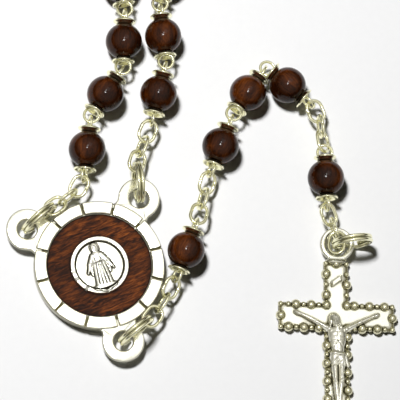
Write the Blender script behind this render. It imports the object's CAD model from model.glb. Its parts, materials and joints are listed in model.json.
import json
import math

import bmesh
import bpy
import numpy as np
from mathutils import Matrix, Vector


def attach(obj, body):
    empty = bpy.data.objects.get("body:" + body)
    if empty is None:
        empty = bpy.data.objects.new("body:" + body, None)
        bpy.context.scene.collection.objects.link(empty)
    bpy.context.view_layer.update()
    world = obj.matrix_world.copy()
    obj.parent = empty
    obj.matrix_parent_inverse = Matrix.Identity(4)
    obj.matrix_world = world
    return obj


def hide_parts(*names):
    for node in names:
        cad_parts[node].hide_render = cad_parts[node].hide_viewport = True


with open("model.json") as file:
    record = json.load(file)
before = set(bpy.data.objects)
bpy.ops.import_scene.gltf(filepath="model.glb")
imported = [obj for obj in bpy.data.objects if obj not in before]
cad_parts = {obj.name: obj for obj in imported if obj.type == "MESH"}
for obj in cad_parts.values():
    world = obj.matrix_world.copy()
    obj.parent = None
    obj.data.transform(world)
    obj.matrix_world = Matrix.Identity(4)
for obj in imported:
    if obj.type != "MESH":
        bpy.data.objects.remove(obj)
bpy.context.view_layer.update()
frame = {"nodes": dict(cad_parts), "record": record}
record = frame["record"]
MM = 0.001
rng = np.random.default_rng(7)

# ---- sizes of what only the visual model shows, in millimetres

PIN_WIRE = 0.5
LINK_WIRE = 0.6
LINK_WIDTH = 3.2
LINK_LENGTH = 4.2
RING_WIRE = 0.65
EYE_R = 1.25              # centre line of an eye
EYE_TIP = 5.55            # from a bead's centre to the tip of an eye's centre line
BEAD_R = 3.0
BEAD_END = 2.75           # from a bead's centre to its flattened end
BORE_R = 0.6
CUP_R = 1.85
CUP_LIP = 3.58            # from a bead's centre to the top of a cup's lip
EAR_HOLE_AT = 12.9
EAR_ANGLES = (59, 153, 286)
MEDAL_TURN = 16           # the medal's figure stands towards 90 degrees plus this


# ---- mesh building

class Shape:
    """Collects vertices (in millimetres) and faces, with a local coordinate and a patina at each vertex."""

    def __init__(self):
        self.verts, self.faces, self.local, self.patina, self.count = [], [], [], [], 0

    def add(self, verts, faces, matrix=None, seed=None, patina=0.0):
        verts = np.asarray(verts, float)
        placed = verts
        if matrix is not None:
            m = np.array(matrix, float)
            placed = verts @ m[:3, :3].T + m[:3, 3]
        offset = np.zeros(3) if seed is None else seed
        self.verts.append(placed)
        self.local.append(verts + offset)
        self.patina.append(np.broadcast_to(patina, len(verts)))
        self.faces += [tuple(i + self.count for i in f) for f in faces]
        self.count += len(verts)

    def object(self, name):
        mesh = bpy.data.meshes.new(name)
        verts = np.concatenate(self.verts) * MM
        mesh.from_pydata(verts.tolist(), [], self.faces)
        mesh.polygons.foreach_set("use_smooth", [True] * len(mesh.polygons))
        local = mesh.attributes.new("local", "FLOAT_VECTOR", "POINT")
        local.data.foreach_set("vector", np.concatenate(self.local).astype(np.float32).ravel())
        patina = mesh.attributes.new("patina", "FLOAT", "POINT")
        patina.data.foreach_set("value", np.concatenate(self.patina).astype(np.float32))
        mesh.validate()
        bm = bmesh.new()
        bm.from_mesh(mesh)
        bmesh.ops.remove_doubles(bm, verts=bm.verts, dist=1e-9)
        bmesh.ops.recalc_face_normals(bm, faces=bm.faces)
        bm.to_mesh(mesh)
        bm.free()
        piece = bpy.data.objects.new(name, mesh)
        bpy.context.scene.collection.objects.link(piece)
        return piece


def grid_faces(rows, columns, close_rows=False, close_columns=False):
    faces = []
    for i in range(rows if close_rows else rows - 1):
        for j in range(columns if close_columns else columns - 1):
            a, b = i * columns + j, i * columns + (j + 1) % columns
            k = (i + 1) % rows * columns
            faces.append((a, b, k + (j + 1) % columns, k + j))
    return faces


def lathe(profile, segments=40):
    """Turns (radius, height) points about +X."""
    turn = np.linspace(0, 2 * math.pi, segments, endpoint=False)
    verts = [(h, r * math.cos(t), r * math.sin(t)) for r, h in profile for t in turn]
    return verts, [f[::-1] for f in grid_faces(len(profile), segments, close_columns=True)]


def tube(path, width, height=None, side=(0, 0, 1), closed=False, sides=12):
    """A wire of elliptical section along a path; side is the direction of its height."""
    path = np.asarray(path, float)
    height = height or width
    if closed:
        ahead = np.roll(path, -1, 0) - np.roll(path, 1, 0)
    else:
        ahead = np.gradient(path, axis=0)
    ahead /= np.linalg.norm(ahead, axis=1)[:, None]
    side = np.asarray(side, float)
    across = np.cross(side, ahead)
    across /= np.linalg.norm(across, axis=1)[:, None]
    up = np.cross(ahead, across)
    turn = np.linspace(0, 2 * math.pi, sides, endpoint=False)
    rings = (path[:, None, :] + across[:, None, :] * (np.cos(turn) * width / 2)[None, :, None]
             + up[:, None, :] * (np.sin(turn) * height / 2)[None, :, None])
    verts = rings.reshape(-1, 3)
    faces = grid_faces(len(path), sides, close_rows=closed, close_columns=True)
    if not closed:
        # rounded ends: a smaller ring pushed outwards, then a cap
        for end, sign in ((0, -1), (len(path) - 1, 1)):
            base = len(verts)
            small = path[end] + (rings[end] - path[end]) * 0.6 + sign * ahead[end] * width * 0.12
            verts = np.concatenate([verts, small])
            for j in range(sides):
                k = (j + 1) % sides
                a, b = end * sides + j, end * sides + k
                faces.append((b, a, base + j, base + k) if sign < 0 else (a, b, base + k, base + j))
            cap = tuple(range(base, base + sides))
            faces.append(cap[::-1] if sign < 0 else cap)
    return verts, [f[::-1] for f in faces]


def smooth_step(x, low, high):
    t = np.clip((x - low) / (high - low), 0, 1)
    return t * t * (3 - 2 * t)


# ---- where each element of the strands lies, read from the CAD nodes

def islands(node):
    """The separate solids of a CAD node, as arrays of their vertices in millimetres."""
    bm = bmesh.new()
    bm.from_mesh(frame["nodes"][node].data)
    bmesh.ops.remove_doubles(bm, verts=bm.verts, dist=1e-6)
    bm.verts.ensure_lookup_table()
    seen, found = set(), []
    for start in bm.verts:
        if start.index in seen:
            continue
        seen.add(start.index)
        stack, group = [start], []
        while stack:
            v = stack.pop()
            group.append(v.co / MM)
            for e in v.link_edges:
                o = e.other_vert(v)
                if o.index not in seen:
                    seen.add(o.index)
                    stack.append(o)
        found.append(np.array([tuple(c) for c in group]))
    bm.free()
    return found


def middle(points):
    return (points.min(0) + points.max(0)) / 2


def spread(points, centre):
    """Principal directions of a symmetrical solid's points, longest first."""
    d = points - centre
    return np.linalg.eigh(d.T @ d)[1][:, ::-1].T


def place(centre, x, z=None):
    """A matrix with its +X along x and its +Z as near to z as it can be."""
    x = np.asarray(x, float) / np.linalg.norm(x)
    z = np.array((0, 0, 1.0)) if z is None else np.asarray(z, float)
    y = np.cross(z, x)
    y /= np.linalg.norm(y)
    z = np.cross(x, y)
    m = np.eye(4)
    m[:3, 0], m[:3, 1], m[:3, 2], m[:3, 3] = x, y, z, centre
    return m


def bead_frames(node):
    """Centre and bore direction of each bead: the rims of its bore are its points nearest the centre."""
    found = []
    for points in islands(node):
        c = middle(points)
        rims = points[np.linalg.norm(points - c, axis=1) < BEAD_R - 0.1]
        found.append((c, spread(rims, c)[0]))
    return found


def eye_roll(points, centre, x):
    """Direction across the wire of the eye at the +x end: the plane that the eye lies in."""
    along = (points - centre) @ x
    eye = points[along > CUP_LIP + 0.1]
    flat = eye - centre
    flat = flat - np.outer(flat @ x, x)
    return np.linalg.eigh(flat.T @ flat)[1][:, -1]


def link_frame(points):
    c = middle(points)
    long, wide, thin = spread(points, c)
    return place(c, long, thin)


# ---- the elements

def add_bead(shape, matrix):
    profile = [(BORE_R, 0.0), (BORE_R, BEAD_END - 0.1), (BORE_R + 0.06, BEAD_END - 0.02),
               (BORE_R + 0.14, BEAD_END)]
    edge = math.sqrt(BEAD_R ** 2 - BEAD_END ** 2)
    profile += [(edge - 0.2, BEAD_END - 0.005), (edge, BEAD_END - 0.03)]
    start = math.asin(edge / BEAD_R)
    for t in np.linspace(start + 0.05, math.pi / 2, 15):
        profile.append((BEAD_R * math.sin(t), BEAD_R * math.cos(t)))
    profile += [(p[0], -p[1]) for p in profile[-2::-1]]
    verts, faces = lathe(profile, 44)
    shape.add(verts, faces, matrix, seed=rng.uniform(-40, 40, 3))


def add_cup(shape, matrix, side):
    """A shallow flared cup whose thin lip is rolled outwards."""
    base, lip = BEAD_END + 0.03, CUP_LIP
    profile = [(0.1, base + 0.14), (0.75, base + 0.13), (1.0, base + 0.2), (1.22, base + 0.38),
               (1.42, base + 0.62), (1.52, lip - 0.1)]
    profile += [(CUP_R - 0.17 + 0.16 * math.cos(t), lip - 0.16 + 0.16 * math.sin(t))
                for t in np.radians(np.linspace(150, -90, 10))]
    profile += [(1.42, base + 0.3), (1.15, base + 0.06), (0.8, base), (0.1, base)]
    verts, faces = lathe(profile, 40)
    m = np.array(matrix) @ np.diag([side, 1.0, 1.0, 1.0])
    shape.add(verts, faces if side > 0 else [f[::-1] for f in faces], m)


def add_eye(shape, centre, x, across):
    """An eye turned from the pin's own wire, whose end comes to rest beside the stem."""
    turn = np.linspace(180, 528, 44)
    a = np.radians(turn)
    lift = (turn - 360) / 360 * PIN_WIRE
    mid = EYE_TIP - EYE_R
    path = np.stack([mid + EYE_R * np.cos(a), EYE_R * np.sin(a) * 0.96, lift], 1)
    stem = [(x0, 0.0, lift[0] * t) for x0, t in ((2.6, 0.0), (2.8, 0.3), (2.95, 0.8))]
    verts, faces = tube(np.array(stem + path[1:].tolist()), PIN_WIRE * 0.96, sides=10)
    shape.add(verts, faces, place(centre, x, np.cross(x, across)))


def add_pin(shape, centre, x, points):
    m = place(centre, x)
    for side in (1, -1):
        add_cup(shape, m, side)
        d = np.asarray(x) * side
        add_eye(shape, centre, d, eye_roll(points, centre, d))


def add_link(shape, matrix):
    """An oval link bent from round wire, its two ends meeting in the middle of one long side."""
    end_r = (LINK_WIDTH - LINK_WIRE) / 2
    half = (LINK_LENGTH - LINK_WIDTH) / 2
    gap = 0.03
    path = [(gap, end_r, 0.0), (half * 0.6, end_r, 0.0)]
    path += [(half + end_r * math.cos(t), end_r * math.sin(t), 0.0)
             for t in np.radians(np.linspace(90, -90, 15))]
    path += [(0.0, -end_r, 0.0)]
    path += [(-half + end_r * math.cos(t), end_r * math.sin(t), 0.0)
             for t in np.radians(np.linspace(270, 90, 15))]
    path += [(-half * 0.6, end_r, 0.0), (-gap, end_r, 0.0)]
    verts, faces = tube(path, LINK_WIRE * 0.97, LINK_WIRE * 0.93, sides=12)
    shape.add(verts, faces, matrix)


def add_jump_ring(shape, matrix, radius):
    """A two-turn split ring: the wire steps sideways once, and both of its ends stop at the step."""
    turn = np.linspace(27, 695, 120)
    lift = (smooth_step(turn, 338, 386) - 0.5) * RING_WIRE * 0.98
    a = np.radians(turn - 95)
    path = np.stack([radius * np.cos(a), radius * np.sin(a), lift], 1)
    verts, faces = tube(path, RING_WIRE, RING_WIRE * 0.97, sides=14)
    shape.add(verts, faces, matrix)


def body_of(node):
    return next(b for b, nodes in record["behaviour"]["bodies"].items() if node in nodes)


def finish_piece(piece, node, material, smooth_angle=None):
    piece.data.materials.clear()
    piece.data.materials.append(material)
    if smooth_angle:
        sharpen(piece, smooth_angle)
        even = piece.modifiers.new("even_normals", "WEIGHTED_NORMAL")
        even.mode, even.weight, even.keep_sharp = "FACE_AREA", 100, True
    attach(piece, body_of(node))
    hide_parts(node)


def sharpen(piece, angle):
    """Smooth shading that keeps edges sharper than the angle crisp."""
    bm = bmesh.new()
    bm.from_mesh(piece.data)
    for e in bm.edges:
        if len(e.link_faces) == 2 and e.calc_face_angle(0) > math.radians(angle):
            e.smooth = False
    bm.to_mesh(piece.data)
    bm.free()


# ---- materials

def new_material(name):
    material = bpy.data.materials.new(name)
    material.use_nodes = True
    tree = material.node_tree
    return material, tree.nodes, tree.links, tree.nodes["Principled BSDF"]


def ramp(nodes, links, source, stops):
    node = nodes.new("ShaderNodeValToRGB")
    links.new(source, node.inputs["Fac"])
    elements = node.color_ramp.elements
    while len(elements) > 1:
        elements.remove(elements[-1])
    elements[0].position, elements[0].color = stops[0][0], (*stops[0][1], 1)
    for position, colour in stops[1:]:
        elements.new(position).color = (*colour, 1)
    return node.outputs["Color"]


def noise(nodes, links, vector, scale, detail=4, rough=0.55, distortion=0.0):
    node = nodes.new("ShaderNodeTexNoise")
    node.inputs["Scale"].default_value = scale
    node.inputs["Detail"].default_value = detail
    node.inputs["Roughness"].default_value = rough
    node.inputs["Distortion"].default_value = distortion
    links.new(vector, node.inputs["Vector"])
    return node.outputs["Fac"]


def math_node(nodes, links, operation, a, b=None, clamp=False):
    node = nodes.new("ShaderNodeMath")
    node.operation = operation
    node.use_clamp = clamp
    for socket, value in zip(node.inputs, (a, b)):
        if value is None:
            continue
        if isinstance(value, (int, float)):
            socket.default_value = value
        else:
            links.new(value, socket)
    return node.outputs[0]


def mix_colour(nodes, links, factor, a, b, blend="MIX"):
    node = nodes.new("ShaderNodeMix")
    node.data_type = "RGBA"
    node.blend_type = blend
    sockets = [node.inputs[0], node.inputs[6], node.inputs[7]]
    for socket, value in zip(sockets, (factor, a, b)):
        if isinstance(value, (int, float)):
            socket.default_value = value
        elif isinstance(value, tuple):
            socket.default_value = (*value, 1)
        else:
            links.new(value, socket)
    return node.outputs[2]


def bump(nodes, links, shader, height, strength, distance):
    node = nodes.new("ShaderNodeBump")
    node.inputs["Strength"].default_value = strength
    node.inputs["Distance"].default_value = distance
    links.new(height, node.inputs["Height"])
    links.new(node.outputs["Normal"], shader.inputs["Normal"])


def object_coords(nodes, links, scale=(1, 1, 1), turn=0.0):
    """Object coordinates turned about Z by an angle in degrees, then scaled."""
    coords = nodes.new("ShaderNodeTexCoord")
    turned = nodes.new("ShaderNodeMapping")
    turned.inputs["Rotation"].default_value = (0, 0, math.radians(turn))
    links.new(coords.outputs["Object"], turned.inputs["Vector"])
    mapping = nodes.new("ShaderNodeMapping")
    mapping.inputs["Scale"].default_value = scale
    links.new(turned.outputs["Vector"], mapping.inputs["Vector"])
    return mapping.outputs["Vector"]


def local_coords(nodes, links, scale=(1, 1, 1)):
    coords = nodes.new("ShaderNodeAttribute")
    coords.attribute_name = "local"
    mapping = nodes.new("ShaderNodeMapping")
    mapping.inputs["Scale"].default_value = scale
    links.new(coords.outputs["Vector"], mapping.inputs["Vector"])
    return mapping.outputs["Vector"]


def make_silver(name, bright, dark, roughness, reach, start, end):
    """Silver plate: tarnish sits in the recesses, open faces are rubbed bright and faintly scratched."""
    material, nodes, links, shader = new_material(name)
    coords = object_coords(nodes, links, (1000, 1000, 1000))
    cloud = noise(nodes, links, coords, 0.9, 5)
    speck = noise(nodes, links, coords, 6.0, 3)
    occlusion = nodes.new("ShaderNodeAmbientOcclusion")
    occlusion.inputs["Distance"].default_value = reach * MM
    occlusion.samples = 8
    ao = occlusion.outputs["AO"]
    varied = math_node(nodes, links, "ADD", ao, math_node(nodes, links, "MULTIPLY",
                       math_node(nodes, links, "SUBTRACT", cloud, 0.5), 0.22))
    open_face = ramp(nodes, links, varied, [(start, (0, 0, 0)), (end, (1, 1, 1))])
    patina = nodes.new("ShaderNodeAttribute")
    patina.attribute_name = "patina"
    clean = math_node(nodes, links, "SUBTRACT", 1.0, patina.outputs["Fac"], clamp=True)
    worn = mix_colour(nodes, links, 1.0, open_face, clean, "MULTIPLY")
    tint = ramp(nodes, links, speck, [(0.3, tuple(c * 0.93 for c in bright)), (0.7, bright)])
    colour = mix_colour(nodes, links, worn, dark, tint)
    links.new(colour, shader.inputs["Base Color"])
    shader.inputs["Metallic"].default_value = 1.0
    rough = ramp(nodes, links, cloud, [(0.3, (roughness * 0.75,) * 3), (0.75, (roughness * 1.35,) * 3)])
    dull = mix_colour(nodes, links, worn, (0.5, 0.5, 0.5), rough)
    links.new(dull, shader.inputs["Roughness"])
    scratch_coords = object_coords(nodes, links, (2600, 520, 1500), 35)
    scratch = noise(nodes, links, scratch_coords, 2.2, 5, 0.7)
    bump(nodes, links, shader, scratch, 0.10, 0.00004)
    return material


def make_bead_wood():
    """Very dark stained hardwood under gloss lacquer: fine pores and streaks run along the bore."""
    material, nodes, links, shader = new_material("bead_wood")
    coords = local_coords(nodes, links, (0.34, 1.0, 1.0))
    broad = noise(nodes, links, coords, 0.42, 3, 0.5, 0.4)
    grain = noise(nodes, links, local_coords(nodes, links, (0.16, 1.0, 1.0)), 3.4, 6, 0.62, 0.6)
    pores = noise(nodes, links, local_coords(nodes, links, (0.3, 1.0, 1.0)), 11.0, 3, 0.6)
    base = ramp(nodes, links, broad, [(0.28, (0.011, 0.0030, 0.0008)), (0.5, (0.036, 0.0090, 0.0018)),
                                      (0.72, (0.110, 0.029, 0.0045))])
    streak = ramp(nodes, links, grain, [(0.36, (0.5, 0.42, 0.38)), (0.62, (1.2, 1.12, 1.0))])
    colour = mix_colour(nodes, links, 1.0, base, streak, "MULTIPLY")
    pore = ramp(nodes, links, pores, [(0.30, (0.45, 0.42, 0.40)), (0.40, (1, 1, 1))])
    links.new(mix_colour(nodes, links, 0.8, colour, pore, "MULTIPLY"), shader.inputs["Base Color"])
    shader.inputs["Roughness"].default_value = 0.15
    shader.inputs["Specular IOR Level"].default_value = 0.05
    shader.inputs["Coat Weight"].default_value = 0.34
    shader.inputs["Coat Roughness"].default_value = 0.025
    height = math_node(nodes, links, "ADD", grain, math_node(nodes, links, "MULTIPLY", pores, 0.5))
    bump(nodes, links, shader, height, 0.25, 0.00006)
    return material


def make_inlay_wood():
    """Reddish-brown disc with dark curly streaks that run from lower left to upper right."""
    material, nodes, links, shader = new_material("inlay_wood")
    streaks = noise(nodes, links, object_coords(nodes, links, (330, 1500, 400), -24), 1.0, 6, 0.62, 1.3)
    fine = noise(nodes, links, object_coords(nodes, links, (700, 4200, 800), -24), 1.0, 5, 0.6, 0.6)
    patches = noise(nodes, links, object_coords(nodes, links, (150, 190, 170)), 1.0, 3)
    base = ramp(nodes, links, streaks, [(0.34, (0.010, 0.004, 0.002)), (0.46, (0.058, 0.018, 0.006)),
                                        (0.60, (0.150, 0.044, 0.009)), (0.78, (0.285, 0.092, 0.016))])
    line = ramp(nodes, links, fine, [(0.36, (0.22, 0.19, 0.17)), (0.56, (1.1, 1.05, 1.0))])
    colour = mix_colour(nodes, links, 0.9, base, line, "MULTIPLY")
    shade = ramp(nodes, links, patches, [(0.38, (0.40, 0.34, 0.30)), (0.62, (1.15, 1.05, 1.0))])
    colour = mix_colour(nodes, links, 0.8, colour, shade, "MULTIPLY")
    occlusion = nodes.new("ShaderNodeAmbientOcclusion")
    occlusion.inputs["Distance"].default_value = 1.1 * MM
    occlusion.samples = 8
    rim = ramp(nodes, links, occlusion.outputs["AO"], [(0.50, (0.06, 0.05, 0.04)), (0.97, (1, 1, 1))])
    links.new(mix_colour(nodes, links, 1.0, colour, rim, "MULTIPLY"), shader.inputs["Base Color"])
    shader.inputs["Roughness"].default_value = 0.5
    shader.inputs["Specular IOR Level"].default_value = 0.15
    bump(nodes, links, shader, fine, 0.35, 0.00008)
    return material


chain_silver = make_silver("chain_silver", (0.99, 0.965, 0.68), (0.16, 0.145, 0.07), 0.2, 0.45, 0.25, 0.75)
cast_silver = make_silver("cast_silver", (0.95, 0.935, 0.80), (0.13, 0.115, 0.05), 0.17, 0.55, 0.52, 0.88)
relief_silver = make_silver("relief_silver", (0.95, 0.94, 0.84), (0.06, 0.052, 0.03), 0.18, 0.4, 0.62, 0.93)
figure_silver = make_silver("figure_silver", (1.0, 0.985, 0.87), (0.075, 0.065, 0.035), 0.34, 0.3, 0.26, 0.62)
border_silver = make_silver("border_silver", (0.74, 0.71, 0.50), (0.10, 0.09, 0.045), 0.24, 0.5, 0.35, 0.95)
bead_wood = make_bead_wood()
inlay_wood = make_inlay_wood()


# ---- strands

def build_strands():
    for node in sorted(frame["nodes"]):
        if node.endswith("_bead") or node.endswith("_beads"):
            shape = Shape()
            frames = bead_frames(node)
            for centre, x in frames:
                add_bead(shape, place(centre, x))
            finish_piece(shape.object(node + "_turned"), node, bead_wood)
            metal = node.replace("_beads", "_chain") if node.endswith("_beads") else node[:-5] + "_pin"
            build_metal(metal, frames)
        elif "_link_" in node:
            shape = Shape()
            add_link(shape, link_frame(islands(node)[0]))
            finish_piece(shape.object(node + "_wire"), node, chain_silver)
        elif node.endswith("_ring"):
            points = np.concatenate(islands(node))
            c = middle(points)
            normal = spread(points, c)[2]
            shape = Shape()
            up = np.array((0, 0, 1.0))
            radius = (points[:, 2].max() - points[:, 2].min() - RING_WIRE) / 2
            add_jump_ring(shape, place(c, np.cross(up, normal), normal), radius)
            finish_piece(shape.object(node + "_coil"), node, chain_silver)


def build_metal(node, frames):
    """The pins and links of a node; a pin is the solid whose middle is a bead's."""
    shape = Shape()
    pins = {}
    for points in islands(node):
        c = middle(points)
        gaps = [np.linalg.norm(c - centre) for centre, _ in frames]
        k = int(np.argmin(gaps))
        if gaps[k] < 1.0:
            pins[k] = points
        else:
            add_link(shape, link_frame(points))
    for k, points in pins.items():
        add_pin(shape, *frames[k], points)
    finish_piece(shape.object(node + "_wire"), node, chain_silver)


build_strands()


# ---- centre medal

def polar(radius, degrees, z=0.0):
    t = math.radians(degrees)
    return (radius * math.cos(t), radius * math.sin(t), z)


def upright():
    """Stands a turned profile on end: its +X becomes +Z."""
    return place((0, 0, 0), (0, 0, 1), (1, 0, 0))


def add_layers(shape, outlines, matrix=None, patina=0.0):
    """Skins a stack of closed outlines and caps both ends."""
    count = len(outlines[0])
    verts = [p for outline in outlines for p in outline]
    faces = grid_faces(len(outlines), count, close_columns=True)
    faces.append(tuple(range(count))[::-1])
    faces.append(tuple(range(len(verts) - count, len(verts))))
    shape.add(verts, faces, matrix, patina=patina)


def block_outline(inner, outer, start, end, gap, z, count=9):
    def edge(r):
        return math.degrees(math.asin(gap / r))
    points = [polar(inner, t, z) for t in np.linspace(end - edge(inner), start + edge(inner), count)]
    return points + [polar(outer, t, z) for t in np.linspace(start + edge(outer), end - edge(outer), count)]


def add_blocks(shape, count, inner, outer, low, top):
    step = 360 / count
    for k in range(count):
        start = MEDAL_TURN + 90 + k * step
        dip = rng.uniform(0, 0.04)
        layers = []
        for z, inset in ((low, 0.0), (top - 0.16, 0.0), (top - 0.07, 0.03), (top - 0.02, 0.09),
                         (top, 0.2)):
            layers.append(block_outline(inner + inset, outer - inset, start, start + step,
                                        0.17 + inset * 0.8, z - dip * (z > low)))
        add_layers(shape, layers, patina=np.repeat([0.8, 0.6, 0.35, 0.12, 0.0], len(layers[0])))


def circles_meet(c1, r1, c2, r2):
    """Both points that lie r1 from c1 and r2 from c2."""
    c1, c2 = np.array(c1), np.array(c2)
    d = np.linalg.norm(c2 - c1)
    a = (r1 ** 2 - r2 ** 2 + d ** 2) / (2 * d)
    h = math.sqrt(r1 ** 2 - a ** 2)
    u = (c2 - c1) / d
    n = np.array((-u[1], u[0]))
    return c1 + a * u + h * n, c1 + a * u - h * n


def neck_outline(lobe_at, lobe_r, body_r, fillet, root):
    """Outline of a round lobe that runs into a round body through two fillets."""
    corner = min(circles_meet((0, 0), body_r + fillet, (lobe_at, 0), lobe_r + fillet), key=lambda q: q[1])
    lobe = np.array((lobe_at, 0.0))

    def sweep(centre, radius, a, b, count):
        start = math.atan2(a[1] - centre[1], a[0] - centre[0])
        end = math.atan2(b[1] - centre[1], b[0] - centre[0])
        end -= 2 * math.pi * round((end - start) / (2 * math.pi))
        return [(centre[0] + radius * math.cos(t), centre[1] + radius * math.sin(t))
                for t in np.linspace(start, end, count)]
    touch_body = corner * body_r / (body_r + fillet)
    touch_lobe = lobe + (corner - lobe) * lobe_r / (lobe_r + fillet)
    points = sweep(corner, fillet, touch_body, touch_lobe, 9)
    start = math.atan2(touch_lobe[1], touch_lobe[0] - lobe_at)
    points += [(lobe_at + lobe_r * math.cos(t), lobe_r * math.sin(t))
               for t in np.linspace(start, -start, 49)[1:-1]]
    points += [(x, -y) for x, y in points[8::-1]]
    x, y = touch_body * root / body_r
    return [(x, y)] + points + [(x, -y)]


def pierced_plate(outline, hole_at, hole_r, z0, z1, bevel):
    """A flat plate with one round hole and rounded edges: vertices, faces and the patina of its edges."""
    root = np.linspace(outline[-1], outline[0], 14)[1:-1]
    P = np.concatenate([np.array(outline), root])
    ahead = np.roll(P, -1, 0) - np.roll(P, 1, 0)
    out = np.stack([ahead[:, 1], -ahead[:, 0]], 1) / np.linalg.norm(ahead, axis=1)[:, None]
    hole = np.array((hole_at, 0.0))
    # the hole's points are spread evenly, so that no two of the plate's faces cross
    around = math.atan2(P[0, 1], P[0, 0] - hole_at) + np.arange(len(P)) * 2 * math.pi / len(P)
    toward = np.stack([np.cos(around), np.sin(around)], 1)
    quarter = np.radians(np.linspace(0, 90, 6))

    def outer(t, z, up):
        return [(*q, z + up * bevel * math.sin(t)) for q in P - out * bevel * (1 - math.cos(t))]

    def inner(t, z, up):
        radius = hole_r + bevel * (1 - math.cos(t))
        return [(*q, z + up * bevel * math.sin(t)) for q in hole + toward * radius]
    loops = [outer(t, z1 - bevel, 1) for t in quarter] + [inner(t, z1 - bevel, 1) for t in quarter[::-1]]
    loops += [inner(t, z0 + bevel, -1) for t in quarter] + [outer(t, z0 + bevel, -1) for t in quarter[::-1]]
    verts = [p for loop in loops for p in loop]
    edge = np.linspace(0.65, 0.0, 6) ** 1.5
    patina = np.repeat(np.concatenate([edge, edge[::-1], edge, edge[::-1]]), len(P))
    return verts, grid_faces(len(loops), len(P), close_rows=True, close_columns=True), patina


def build_medal():
    shape = Shape()
    profile = [(0.0, 0.0), (0.0, 10.15), (0.08, 10.36), (0.3, 10.47), (1.62, 10.47), (1.72, 10.3),
               (1.82, 10.3), (1.92, 10.42), (2.05, 10.42), (2.05, 8.62), (1.98, 8.45), (0.6, 8.44),
               (0.6, 0.0)]
    verts, faces = lathe([(r, h) for h, r in profile], 144)
    dull = [0.55 if 0.2 < h < 2.0 and r > 9 else 0.0 for h, r in profile for k in range(144)]
    shape.add(verts, faces, upright(), patina=dull)
    add_blocks(shape, 12, inner=8.5, outer=10.47, low=1.9, top=2.6)
    outline = neck_outline(EAR_HOLE_AT, lobe_r=3.38, body_r=10.2, fillet=1.3, root=9.8)
    verts, faces, dull = pierced_plate(outline, EAR_HOLE_AT, hole_r=1.57, z0=1.3, z1=2.3, bevel=0.22)
    for angle in EAR_ANGLES:
        shape.add(verts, faces, Matrix.Rotation(math.radians(angle), 4, "Z"), patina=dull)
    finish_piece(shape.object("medal_frame_cast"), "medal_frame", cast_silver, 30)

    shape = Shape()
    profile = [(0.0, 0.62), (8.3, 0.62), (8.41, 0.72), (8.41, 1.8), (8.33, 1.88), (0.0, 1.9)]
    verts, faces = lathe(profile, 96)
    shape.add(verts, faces, upright())
    finish_piece(shape.object("medal_wood_disc"), "medal_wood_inlay", inlay_wood, 30)


# ---- reliefs: heights in millimetres over a grid, with the solid closed underneath

def dome(X, Y, x, y, rx, ry, turn, height, sharp=0.5):
    """An ellipsoid cap standing on the ground plane."""
    t = math.radians(turn)
    u = ((X - x) * math.cos(t) + (Y - y) * math.sin(t)) / rx
    v = (-(X - x) * math.sin(t) + (Y - y) * math.cos(t)) / ry
    return height * np.clip(1 - u * u - v * v, 0, 1) ** sharp


def rod(X, Y, a, b, ra, rb, ha, hb, sharp=0.5):
    """A tapered rounded bar between two points, of half widths ra and rb and heights ha and hb."""
    ax, ay = a
    dx, dy = b[0] - ax, b[1] - ay
    t = np.clip(((X - ax) * dx + (Y - ay) * dy) / (dx * dx + dy * dy), 0, 1)
    d = np.hypot(X - ax - t * dx, Y - ay - t * dy)
    return (ha + (hb - ha) * t) * np.clip(1 - (d / (ra + (rb - ra) * t)) ** 2, 0, 1) ** sharp


def pile(*heights, blend=0.12):
    """The highest of several surfaces, run together smoothly."""
    out = heights[0]
    for h in heights[1:]:
        gap = np.clip(0.5 + 0.5 * (h - out) / blend, 0, 1)
        both = (h > 0) & (out > 0)
        out = np.where(both, out + (h - out) * gap + blend * gap * (1 - gap), np.maximum(out, h))
    return out


def cavity(H, reach, depth):
    """How far a grid's surface lies below its surroundings, from 0 to 1."""
    return np.clip((blurred(H, reach) - H) / depth, 0, 1)


def add_relief(shape, X, Y, H, keep, low, matrix=None, patina=None):
    """Keeps the grid cells whose corners all satisfy keep; the sides and the back close the solid."""
    rows, columns = X.shape
    index = -np.ones(X.shape, int)
    cells = [(i, j) for i in range(rows - 1) for j in range(columns - 1)
             if keep[i, j] and keep[i + 1, j] and keep[i, j + 1] and keep[i + 1, j + 1]]
    verts, faces, edges, dark = [], [], {}, []

    def corner(i, j):
        if index[i, j] < 0:
            index[i, j] = len(verts)
            verts.append((X[i, j], Y[i, j], H[i, j]))
            dark.append(0.0 if patina is None else patina[i, j])
        return int(index[i, j])
    for i, j in cells:
        quad = (corner(i, j), corner(i, j + 1), corner(i + 1, j + 1), corner(i + 1, j))
        faces.append(quad)
        for a, b in zip(quad, quad[1:] + quad[:1]):
            edges[(a, b)] = edges.get((a, b), 0) + 1
    count = len(verts)
    verts += [(x, y, low) for x, y, h in verts]
    under = [tuple(v + count for v in quad[::-1]) for quad in faces]
    sides = [(b, a, a + count, b + count) for a, b in edges if (b, a) not in edges]
    shape.add(verts, faces + under + sides, matrix, patina=dark + [1.0] * count)


def blurred(H, times):
    for _ in range(times):
        P = np.pad(H, 1, mode="edge")
        H = (P[:-2, 1:-1] + P[2:, 1:-1] + P[1:-1, :-2] + P[1:-1, 2:] + 4 * H) / 8
    return H


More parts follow.
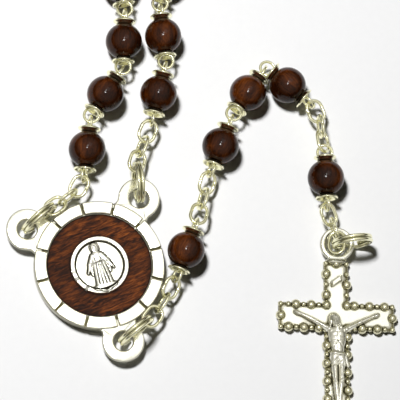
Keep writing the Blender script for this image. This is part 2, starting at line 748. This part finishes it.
def build_medallion():
    """A standing veiled figure with lowered open arms, on a small mound, within a worn raised edge."""
    radii = np.concatenate([np.linspace(0.0, 3.95, 96), np.linspace(3.99, 4.75, 24)])
    angles = np.linspace(0, 2 * math.pi, 300, endpoint=False)
    R, T = np.meshgrid(radii, angles, indexing="ij")
    px, py = R * np.cos(T), R * np.sin(T)
    X, Y = px / 1.1, (py - 0.25) / 1.14
    parts = [rod(X, Y, (0, 0.9), (0, -2.9), 0.86, 1.22, 0.34, 0.30),       # robe
             rod(X, Y, (0, 1.35), (0, 0.1), 0.62, 0.66, 0.40, 0.36),       # shoulders and waist
             dome(X, Y, 0, 2.35, 0.56, 0.78, 0, 0.46),                      # veiled head
             dome(X, Y, 0, -3.35, 1.7, 0.55, 0, 0.26)]                      # mound
    for s in (1, -1):
        parts += [rod(X, Y, (s * 0.62, 1.25), (s * 1.30, 0.15), 0.36, 0.34, 0.34, 0.30),
                  rod(X, Y, (s * 1.30, 0.15), (s * 1.78, -0.72), 0.30, 0.17, 0.30, 0.24),
                  rod(X, Y, (s * 1.30, 0.10), (s * 1.34, -1.35), 0.40, 0.16, 0.28, 0.14),
                  dome(X, Y, s * 1.90, -0.92, 0.15, 0.26, s * 25, 0.24)]
    figure = pile(*parts, blend=0.05)
    inside = smooth_step(figure, 0.0, 0.2)
    folds = sum(rod(X, Y, (x, 0.4), (x * 2.1, -2.9), 0.07, 0.11, 1, 1) for x in (-0.36, -0.12, 0.14, 0.37))
    sleeves = sum(rod(X, Y, (s * 1.18, 0.3), (s * 1.24, -1.1), 0.06, 0.05, 1, 1) for s in (1, -1))
    figure = figure - 0.10 * folds * inside - 0.07 * sleeves * inside
    figure = figure - 0.09 * rod(X, Y, (-0.75, 0.2), (0.75, 0.32), 0.08, 0.08, 1, 1) * inside
    face = dome(X, Y, 0, 2.28, 0.33, 0.46, 0, 1)
    hollow = smooth_step(face, 0.0, 0.4) * (1 - smooth_step(face, 0.5, 0.8))
    figure = figure - 0.07 * hollow
    for s in (1, -1):
        figure = figure - 0.045 * dome(X, Y, s * 0.13, 2.38, 0.07, 0.05, 0, 1)
        figure = figure - 0.10 * rod(X, Y, (s * 0.42, 0.9), (s * 0.78, -2.6), 0.06, 0.09, 1, 1) * inside
    figure = figure + 0.04 * rod(X, Y, (0, 2.4), (0, 2.2), 0.05, 0.07, 1, 1)
    figure = figure - 0.03 * rod(X, Y, (-0.09, 2.06), (0.09, 2.06), 0.04, 0.04, 1, 1)
    near = pile(*[np.clip(1.25 * h, 0, 1) for h in parts], blend=0.05)
    spread_out = blurred(near, 30)
    moat = 0.14 * smooth_step(spread_out, 0.0, 0.05) * (figure <= 0.01)
    moat = moat + 0.12 * smooth_step(R, 3.72, 3.86) * (R < 3.96)
    edge = 0.30 * smooth_step(R, 3.97, 4.08) * (1 - smooth_step(R, 4.60, 4.76) * 0.8)
    wear = sum(a * np.cos(T * k + p) for a, k, p in ((0.35, 5, 1.0), (0.3, 9, 2.2), (0.25, 16, 0.4),
                                                     (0.25, 23, 3.0)))
    worn_side = smooth_step(np.cos(T - math.radians(212)), 0.2, 0.9)
    nick = smooth_step(wear, 0.35, 0.8) * worn_side * (R > 3.97) * (R < 4.7)
    field = 2.15              # height of the medallion's flat field
    figure = figure * smooth_step(3.95 - R, 0.0, 0.1)
    H = field + figure * 0.55 - moat + edge - 0.16 * nick
    outline = smooth_step(spread_out, 0.05, 0.30) * (figure <= 0.04)
    patina = np.clip(0.95 * outline + 1.1 * inside * smooth_step(cavity(figure, 12, 0.05), 0.10, 0.7)
                     + 0.9 * smooth_step(R, 3.74, 3.84) * (R < 4.02) + 0.9 * nick, 0, 1)
    H[-1] = 2.2
    shape = Shape()
    verts = np.stack([px, py, H], -1).reshape(-1, 3).tolist()
    faces = [f[::-1] for f in grid_faces(len(radii), len(angles), close_columns=True)]
    count = len(angles)
    rim = len(verts) - count
    verts += [(x, y, 1.92) for x, y, z in verts[rim:]]
    dark = np.concatenate([patina.ravel(), np.full(count, 0.6)])
    faces += [(rim + k, rim + count + k, rim + count + (k + 1) % count, rim + (k + 1) % count)
              for k in range(count)]
    faces.append(tuple(range(rim + count, rim + 2 * count))[::-1])
    shape.add(verts, faces, Matrix.Rotation(math.radians(MEDAL_TURN), 4, "Z"), patina=dark)
    finish_piece(shape.object("medallion_struck"), "medallion", relief_silver)


# ---- crucifix

CROSS_AT = (38.5, -8.2)
CROSS_TURN = -1.9
FACE = 0.95               # height of the cross's polished face
BALL = 1.62
SMALL_BALL = 0.92
BALL_PITCH = 2.8          # from one large ball to the next
BALL_Z = 0.84
SMALL_BALL_Z = 0.9
CORNERS = [(1.68, 8.78), (-1.68, 8.78), (-1.68, 1.88), (-9.18, 1.88), (-9.18, -1.88), (-1.68, -1.88),
           (-1.68, -22.28), (1.68, -22.28), (1.68, -1.88), (9.18, -1.88), (9.18, 1.88), (1.68, 1.88)]


def cross_matrix():
    return (Matrix.Translation((CROSS_AT[0], CROSS_AT[1], 0))
            @ Matrix.Rotation(math.radians(CROSS_TURN), 4, "Z"))


def ball(radius, segments=22):
    profile = [(radius * math.sin(t), -radius * math.cos(t)) for t in np.linspace(0, math.pi, 13)]
    profile[0], profile[-1] = (0.0, -radius), (0.0, radius)
    return lathe(profile, segments)


def add_border(shape, matrix):
    for k, corner in enumerate(CORNERS):
        start, end = np.array(corner), np.array(CORNERS[(k + 1) % 12])
        steps = max(1, round(np.linalg.norm(end - start) / BALL_PITCH))
        large_first = k in (2, 5, 8, 11)
        for i in range(2 * steps):
            large = i % 2 == (0 if large_first else 1)
            x, y = start + (end - start) * i / (2 * steps)
            verts, faces = ball((BALL if large else SMALL_BALL) / 2)
            at = Matrix.Translation((x, y, BALL_Z if large else SMALL_BALL_Z))
            shape.add(verts, faces, matrix @ at @ Matrix.Rotation(math.pi / 2, 4, "Y"))


def inset_cross(d, z):
    """The cross's outline between the lines of balls, drawn in by d all round."""
    out = []
    for x, y in CORNERS:
        sx = math.copysign(1, x)
        sy = 1 if y > 0 else -1
        out.append((x - sx * d, y - sy * d, z))
    return out


def build_cross():
    shape, m = Shape(), cross_matrix()
    add_layers(shape, [inset_cross(-0.24, 0.10), inset_cross(-0.34, 0.22), inset_cross(-0.34, FACE - 0.24),
                       inset_cross(-0.26, FACE - 0.14), inset_cross(0.0, FACE - 0.10),
                       inset_cross(0.50, FACE - 0.04), inset_cross(0.66, FACE)], m,
               patina=np.repeat([0.4, 0.5, 0.6, 0.8, 1.0, 0.25, 0.0], 12))
    # the ear, on a neck that runs into the border's top edge
    ear_at, ear_r, neck = 2.3, 2.78, 1.5
    start = math.pi - math.asin(neck / ear_r)
    outline = [(-0.35, -neck)] + [(ear_at + ear_r * math.cos(t), ear_r * math.sin(t))
                                  for t in np.linspace(-start, start, 60)] + [(-0.35, neck)]
    verts, faces, dull = pierced_plate(outline, ear_at, hole_r=1.98, z0=1.3, z1=2.3, bevel=0.28)
    shape.add(verts, faces, m @ Matrix.Translation((0, 9.5, 0)) @ Matrix.Rotation(math.pi / 2, 4, "Z"),
              patina=dull)
    verts, faces = ball(1.0)
    shape.add(verts, faces, m @ Matrix.Translation((0, 9.2, 1.05)) @ Matrix.Diagonal((1.7, 0.62, 0.75, 1)))
    # a small blank scroll above the figure
    scroll = m @ Matrix.Translation((0, 5.9, 0))
    half_w, half_h = 0.90, 0.46
    X, Y = np.meshgrid(np.linspace(-half_w, half_w, 25), np.linspace(-half_h, half_h, 17), indexing="ij")
    edge = np.maximum(np.abs(X) / half_w, np.abs(Y) / half_h)
    Y = Y + 0.62 * X + 0.06 * np.sin(X * 3.4)
    H = FACE + 0.50 - 0.22 * smooth_step(edge, 0.84, 1.0) - 0.10 * smooth_step(1 - edge, 0.20, 0.32)
    add_relief(shape, X, Y, H, np.ones(X.shape, bool), FACE - 0.2, scroll)
    finish_piece(shape.object("crucifix_cross_cast"), "crucifix_cross", cast_silver, 35)
    shape = Shape()
    add_border(shape, m)
    finish_piece(shape.object("crucifix_border_cast"), "crucifix_cross", border_silver)


def build_corpus():
    """A slender figure with raised arms and an inclined head, in high relief."""
    step = 0.07
    X, Y = np.meshgrid(np.arange(-7.3, 7.4, step), np.arange(-17.9, 1.6, step), indexing="ij")
    torso = [rod(X, Y, (0.0, -3.0), (0.0, -4.3), 1.62, 1.36, 0.98, 0.90, 0.4),
             rod(X, Y, (0.0, -4.2), (0.05, -6.2), 1.16, 1.06, 0.84, 0.80, 0.4)]
    arms = []
    for s in (1, -1):
        lift = 0.0 if s > 0 else 0.12
        arms += [dome(X, Y, s * 1.42, -2.25, 0.62, 0.52, 0, 0.92),
                 rod(X, Y, (s * 1.35, -2.15), (s * 3.75, -0.95 + lift), 0.54, 0.44, 0.84, 0.66),
                 rod(X, Y, (s * 3.75, -0.95 + lift), (s * 5.95, 0.10 + lift), 0.46, 0.30, 0.68, 0.50),
                 rod(X, Y, (s * 5.95, 0.10 + lift), (s * 6.55, 0.30 + lift), 0.33, 0.42, 0.50, 0.44)]
        for k, reach in enumerate((0.5, 0.62, 0.6, 0.48)):      # fingers
            a = math.radians(8 + k * 17)
            arms.append(rod(X, Y, (s * 6.5, 0.28 + lift),
                            (s * (6.5 + reach * math.cos(a)), 0.28 + lift + reach * math.sin(a)),
                            0.14, 0.12, 0.42, 0.32))
    hips = [rod(X, Y, (-0.35, -6.35), (0.42, -6.6), 1.00, 1.02, 0.98, 0.98, 0.4),
            rod(X, Y, (-0.45, -6.8), (-0.52, -7.6), 0.95, 0.84, 0.96, 0.84),
            rod(X, Y, (0.50, -6.8), (0.62, -7.9), 0.95, 0.82, 0.98, 0.88),
            rod(X, Y, (1.20, -6.5), (1.65, -8.3), 0.36, 0.26, 0.78, 0.50)]
    legs = [rod(X, Y, (-0.62, -7.6), (-0.46, -10.7), 0.62, 0.48, 0.80, 0.94),
            rod(X, Y, (0.64, -7.6), (0.50, -10.5), 0.64, 0.50, 0.84, 1.00),
            rod(X, Y, (-0.42, -10.9), (-0.20, -13.0), 0.50, 0.46, 0.92, 0.80),
            rod(X, Y, (0.46, -10.7), (0.30, -12.9), 0.52, 0.48, 0.98, 0.86),
            rod(X, Y, (-0.20, -13.0), (-0.05, -15.7), 0.44, 0.30, 0.78, 0.56),
            rod(X, Y, (0.30, -12.9), (0.16, -15.6), 0.46, 0.30, 0.84, 0.66),
            rod(X, Y, (-0.08, -15.6), (-0.12, -17.1), 0.34, 0.30, 0.66, 0.50),
            rod(X, Y, (0.14, -15.5), (0.20, -16.8), 0.34, 0.30, 0.78, 0.60)]
    neck = rod(X, Y, (0.0, -2.4), (-0.25, -1.5), 0.52, 0.50, 0.96, 1.02)
    # head, inclined to the figure's right, with hair falling on both shoulders
    lean, face_x, face_y = 14, -0.50, -0.92
    hair = [dome(X, Y, -0.42, -0.68, 1.04, 1.34, lean, 1.20),
            rod(X, Y, (-1.15, -0.95), (-1.25, -2.1), 0.36, 0.26, 0.98, 0.86),
            rod(X, Y, (0.22, -1.15), (0.48, -1.9), 0.32, 0.22, 0.96, 0.88)]
    face = dome(X, Y, face_x, face_y, 0.66, 0.98, lean, 1.34)
    body = pile(*torso, *arms, blend=0.22)
    body = pile(body, *legs, blend=0.10)
    body = pile(body, neck, blend=0.15)
    body = pile(body, *hips, blend=0.06)
    body = pile(body, *hair, blend=0.05)
    body = pile(body, face, blend=0.03)
    solid = body > 0.02

    def carve(depth, mask):
        return depth * mask * solid
    # chest, ribs, the arch under them, navel
    H = body.copy()
    H += carve(0.07, dome(X, Y, 0.55, -3.05, 0.62, 0.48, -10, 1, 1)
               + dome(X, Y, -0.55, -3.05, 0.62, 0.48, 10, 1, 1))
    H -= carve(0.06, rod(X, Y, (0, -2.6), (0, -5.6), 0.12, 0.12, 1, 1, 1))
    for k in range(4):
        drop = 3.55 + 0.36 * k
        for s in (1, -1):
            H -= carve(0.075, rod(X, Y, (s * 0.22, -drop + 0.10), (s * (1.15 - 0.07 * k), -drop - 0.16), 0.09,
                                  0.09, 1, 1, 1))
    for s in (1, -1):
        H -= carve(0.08, rod(X, Y, (0.0, -4.15), (s * 0.72, -5.05), 0.12, 0.12, 1, 1, 1))
        H += carve(0.04, rod(X, Y, (s * 0.62, -7.0), (s * 0.5, -10.0), 0.16, 0.16, 1, 1, 1))
        H += carve(0.07, dome(X, Y, s * 0.46, -10.65, 0.26, 0.32, 0, 1, 1))
        H -= carve(0.05, dome(X, Y, s * 0.46, -11.15, 0.30, 0.14, 0, 1, 1))
        H += carve(0.05, rod(X, Y, (s * 2.0, -1.9), (s * 3.2, -1.25), 0.16, 0.14, 1, 1, 1))
    H -= carve(0.10, dome(X, Y, 0.03, -5.75, 0.10, 0.09, 0, 1, 1))
    # folds of the loincloth, with a belt and a hanging end
    for k in range(6):
        x0 = -1.25 + 0.42 * k
        H -= carve(0.12, rod(X, Y, (x0 * 0.35 + 0.75, -6.5 - 0.05 * k), (x0, -8.15), 0.07, 0.12, 1, 1, 1))
    H += carve(0.09, rod(X, Y, (-1.15, -6.12), (1.25, -6.38), 0.17, 0.17, 1, 1, 1))
    H -= carve(0.08, rod(X, Y, (-1.15, -6.38), (1.25, -6.66), 0.09, 0.09, 1, 1, 1))
    for k in range(2):
        H -= carve(0.08, rod(X, Y, (1.15 + 0.13 * k, -6.7), (1.42 + 0.20 * k, -8.4), 0.05, 0.06, 1, 1, 1))
    # strands of hair and a band
    waves = np.cos(((X + 0.42) * math.cos(0.3) - (Y + 0.7) * math.sin(0.3)) * 13 + 2.2 * np.sin(Y * 1.9))
    in_hair = (pile(*hair) > 0.4) & (dome(X, Y, face_x, face_y, 0.54, 0.84, lean, 1) <= 0)
    H += 0.045 * waves * in_hair * solid
    t = math.radians(lean)

    def mark(u, v, rx, ry, depth):
        """Presses in a hollow, or raises a swelling, at a point given across and up the face."""
        nonlocal H
        px = face_x + u * math.cos(t) - v * math.sin(t)
        py = face_y + u * math.sin(t) + v * math.cos(t)
        H = H - carve(depth, dome(X, Y, px, py, rx, ry, lean, 1, 1))
    for s in (1, -1):
        mark(s * 0.21, 0.12, 0.15, 0.085, 0.11)      # eye hollows, lids lowered
        mark(s * 0.21, 0.10, 0.09, 0.04, -0.04)
        mark(s * 0.21, 0.27, 0.19, 0.06, -0.05)      # brows
        mark(s * 0.27, -0.12, 0.13, 0.13, -0.04)     # cheeks
    for v, depth in ((0.10, -0.07), (0.0, -0.10), (-0.09, -0.13)):
        mark(0.0, v, 0.08, 0.11, depth)              # nose
    mark(0.0, -0.30, 0.17, 0.045, 0.07)              # mouth
    mark(0.0, -0.38, 0.12, 0.05, -0.03)
    mark(0.0, -0.66, 0.24, 0.24, -0.05)              # chin and short beard
    H = blurred(H, 2)
    low = FACE + 0.10
    shape = Shape()
    dark = smooth_step(cavity(H, 14, 0.09), 0.12, 0.9) * solid
    dark = np.clip(dark + 0.8 * (1 - smooth_step(H, 0.05, 0.34)), 0, 1)
    add_relief(shape, X, Y, np.where(solid, H * 1.18, 0) + low, solid, low - 0.03, cross_matrix(), dark)
    finish_piece(shape.object("corpus_cast"), "corpus", figure_silver)


build_medal()
build_medallion()
build_cross()
build_corpus()


# ---- floor, light and camera

def build_floor():
    material, nodes, links, shader = new_material("pale_table")
    coords = object_coords(nodes, links, (40, 40, 40))
    fibre = noise(nodes, links, coords, 20, 3)
    colour = ramp(nodes, links, fibre, [(0.2, (0.80, 0.80, 0.80)), (0.8, (0.82, 0.82, 0.82))])
    links.new(colour, shader.inputs["Base Color"])
    shader.inputs["Roughness"].default_value = 0.9
    shader.inputs["Specular IOR Level"].default_value = 0.1
    mesh = bpy.data.meshes.new("floor")
    bm = bmesh.new()
    bmesh.ops.create_grid(bm, x_segments=4, y_segments=4, size=1.5)
    bm.to_mesh(mesh)
    bm.free()
    floor = bpy.data.objects.new("floor", mesh)
    floor.location = (0.01, 0.06, 0)
    mesh.materials.append(material)
    bpy.context.scene.collection.objects.link(floor)


def aimed(location, target):
    return (Vector(target) - Vector(location)).to_track_quat("-Z", "Y").to_euler()


def area_light(name, location, target, size, power):
    light = bpy.data.lights.new(name, "AREA")
    light.shape, light.size, light.energy = "SQUARE", size, power
    lamp = bpy.data.objects.new(name, light)
    lamp.location = location
    lamp.rotation_euler = aimed(location, target)
    bpy.context.scene.collection.objects.link(lamp)
    return lamp


def build_light():
    target = (0.017, 0.011, 0.0)
    key = area_light("key", (-0.10, 0.12, 0.38), target, 0.06, 2.15)
    key.visible_glossy = False
    area_light("overhead", (0.095, 0.15, 0.46), target, 0.20, 0.09).visible_diffuse = False
    for lamp in (area_light("spot", (-0.05, -0.02, 0.5), target, 0.05, 0.55),
                 area_light("window", (-0.01, 0.09, 0.5), target, 0.06, 0.14)):
        lamp.visible_diffuse = False
    world = bpy.data.worlds.new("studio")
    bpy.context.scene.world = world
    world.use_nodes = True
    nodes, links = world.node_tree.nodes, world.node_tree.links
    coords = nodes.new("ShaderNodeTexCoord")
    split = nodes.new("ShaderNodeSeparateXYZ")
    links.new(coords.outputs["Generated"], split.inputs[0])
    colour = ramp(nodes, links, split.outputs["Z"], [(0.0, (0.03, 0.03, 0.02)), (0.22, (0.07, 0.065, 0.045)),
                                                     (0.5, (0.62, 0.60, 0.52)), (0.8, (1.0, 0.98, 0.92)),
                                                     (1.0, (1.0, 1.0, 0.98))])
    links.new(colour, nodes["Background"].inputs["Color"])
    nodes["Background"].inputs["Strength"].default_value = 0.68
    world.cycles_visibility.diffuse = False


CAMERA_ROLL = 1.8


def build_camera():
    camera = bpy.data.cameras.new("camera")
    camera.sensor_width = 36
    holder = bpy.data.objects.new("camera", camera)
    bpy.context.scene.collection.objects.link(holder)
    tilt, heading, distance, width = math.radians(17), math.radians(240), 0.42, 0.0648
    back = Vector((math.sin(tilt) * math.cos(heading), math.sin(tilt) * math.sin(heading), math.cos(tilt)))
    target = Vector((0.0166, 0.0109, 0.002))
    up = Vector((math.sin(math.radians(CAMERA_ROLL)), math.cos(math.radians(CAMERA_ROLL)), 0))
    up = (up - back * up.dot(back)).normalized()
    right = up.cross(back).normalized()
    holder.matrix_world = Matrix((
        (right.x, up.x, back.x, target.x + back.x * distance),
        (right.y, up.y, back.y, target.y + back.y * distance),
        (right.z, up.z, back.z, target.z + back.z * distance),
        (0, 0, 0, 1)))
    camera.lens = camera.sensor_width * distance / width
    camera.clip_start, camera.clip_end = 0.01, 10
    bpy.context.scene.camera = holder


build_floor()
build_light()
build_camera()
bpy.context.scene.view_settings.view_transform = "Standard"
bpy.context.scene.view_settings.look = "None"
